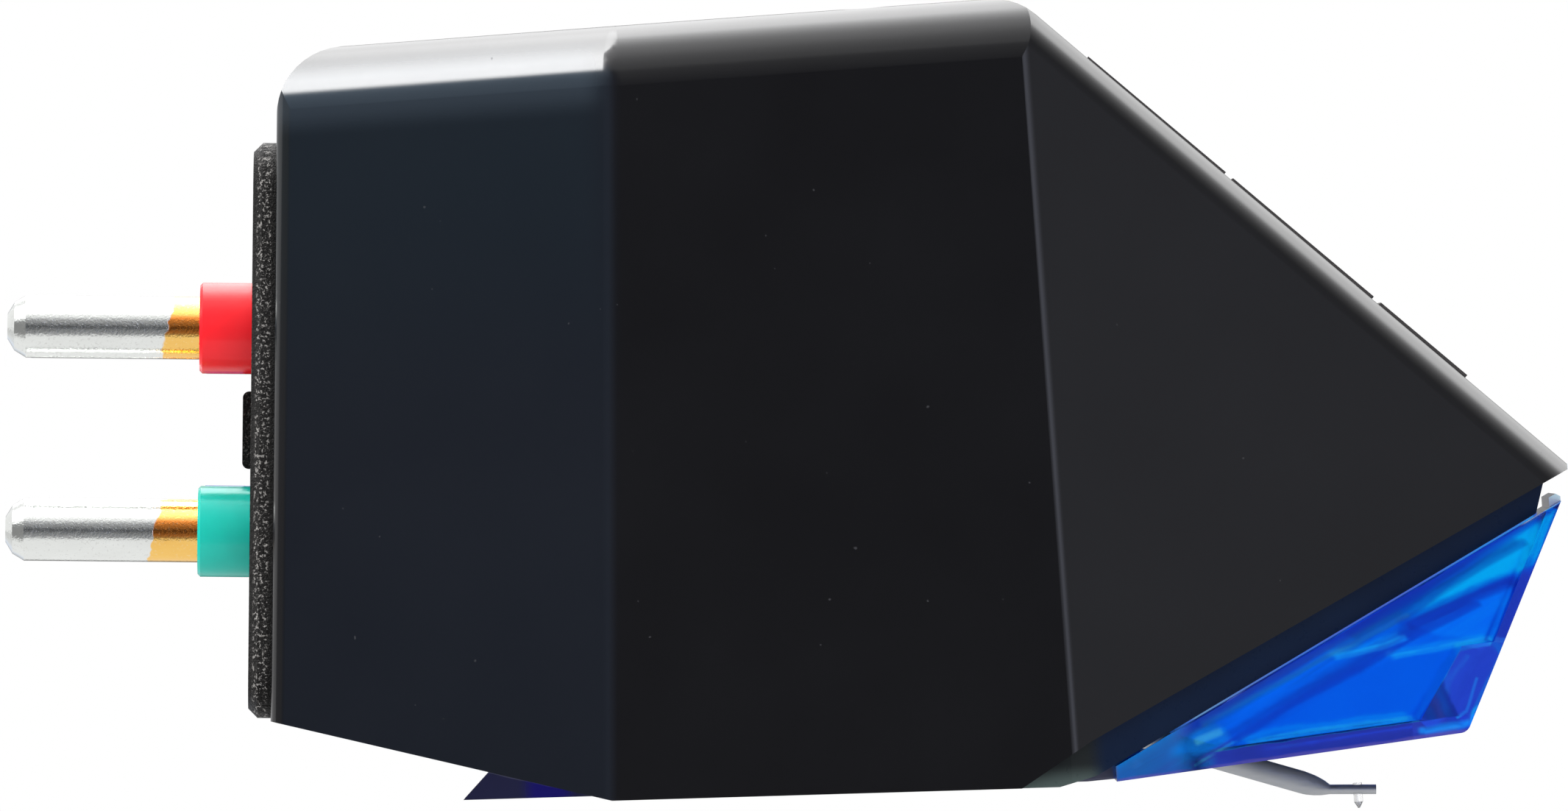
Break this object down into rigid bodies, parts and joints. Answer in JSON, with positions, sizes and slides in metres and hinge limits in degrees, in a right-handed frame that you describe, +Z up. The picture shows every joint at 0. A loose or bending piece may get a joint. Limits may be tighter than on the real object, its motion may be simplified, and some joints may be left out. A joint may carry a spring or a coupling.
{
  "type": "turntable stylus cartridge",
  "caption": "Moving magnet phono cartridge with a faceted black housing, colour-coded terminal pins and a plug-in stylus in translucent blue.",
  "frame": {"origin": "on the mounting face, midway between the two tapped holes", "axes": "+X to the stylus end, +Y to the left channel's side, +Z up out of the mounting face"},
  "size_m": [0.0338, 0.017, 0.018],
  "materials": {
    "housing_black": "polished black",
    "chassis_navy": "dark satin",
    "plate_grain": "coarse grain",
    "pin_metal": "gilt at the root, tinned at the end",
    "sleeve_white": "gloss",
    "sleeve_blue": "gloss",
    "sleeve_red": "gloss",
    "sleeve_green": "gloss",
    "bobbin_plastic": "satin",
    "copper": "enamelled wire",
    "soft_iron": "satin",
    "shield_metal": "satin",
    "stylus_blue": "translucent blue",
    "brass": "turned",
    "steel_wire": "drawn",
    "damper_rubber": "soft",
    "magnet_metal": "satin",
    "cantilever_aluminium": "satin",
    "diamond": "polished"
  },
  "bodies": {
    "cartridge_body": {"body_shell": "housing_black", "chassis": "chassis_navy", "terminal_plate": "plate_grain", "pin_left_plus": "pin_metal", "pin_left_minus": "pin_metal", "pin_right_plus": "pin_metal", "pin_right_minus": "pin_metal", "sleeve_white": "sleeve_white", "sleeve_blue": "sleeve_blue", "sleeve_red": "sleeve_red", "sleeve_green": "sleeve_green", "bobbin_upper_left": "bobbin_plastic", "bobbin_lower_left": "bobbin_plastic", "bobbin_upper_right": "bobbin_plastic", "bobbin_lower_right": "bobbin_plastic", "coil_upper_left": "copper", "coil_lower_left": "copper", "coil_upper_right": "copper", "coil_lower_right": "copper", "pole_upper_left": "soft_iron", "pole_lower_right": "soft_iron", "pole_upper_right": "soft_iron", "pole_lower_left": "soft_iron", "yoke_left": "soft_iron", "yoke_right": "soft_iron", "shield_can": "shield_metal", "lead_left_plus": "copper", "lead_left_minus": "copper", "lead_right_plus": "copper", "lead_right_minus": "copper"},
    "stylus_unit": {"stylus_holder": "stylus_blue", "suspension_tube": "brass", "wire_anchor": "brass", "tie_wire": "steel_wire"},
    "damper_ring": {"damper": "damper_rubber"},
    "cantilever_arm": {"cantilever": "cantilever_aluminium", "magnet": "magnet_metal", "diamond_tip": "diamond"}
  },
  "joints": [
    {"name": "stylus_pull", "type": "slide", "parent": "cartridge_body", "child": "stylus_unit", "axis": [0.9991, 0, -0.0419], "range_m": [0, 0.016]},
    {"name": "cantilever_lift", "type": "hinge", "parent": "stylus_unit", "child": "damper_ring", "pos_m": [0.002, 0, -0.01506], "axis": [0, -1, 0], "range_deg": [-4, 4], "stiffness_Nm_per_rad": 0.003},
    {"name": "cantilever_sway", "type": "hinge", "parent": "damper_ring", "child": "cantilever_arm", "pos_m": [0.002, 0, -0.01506], "axis": [0.342, 0, 0.9397], "range_deg": [-4, 4], "stiffness_Nm_per_rad": 0.003}
  ]
}
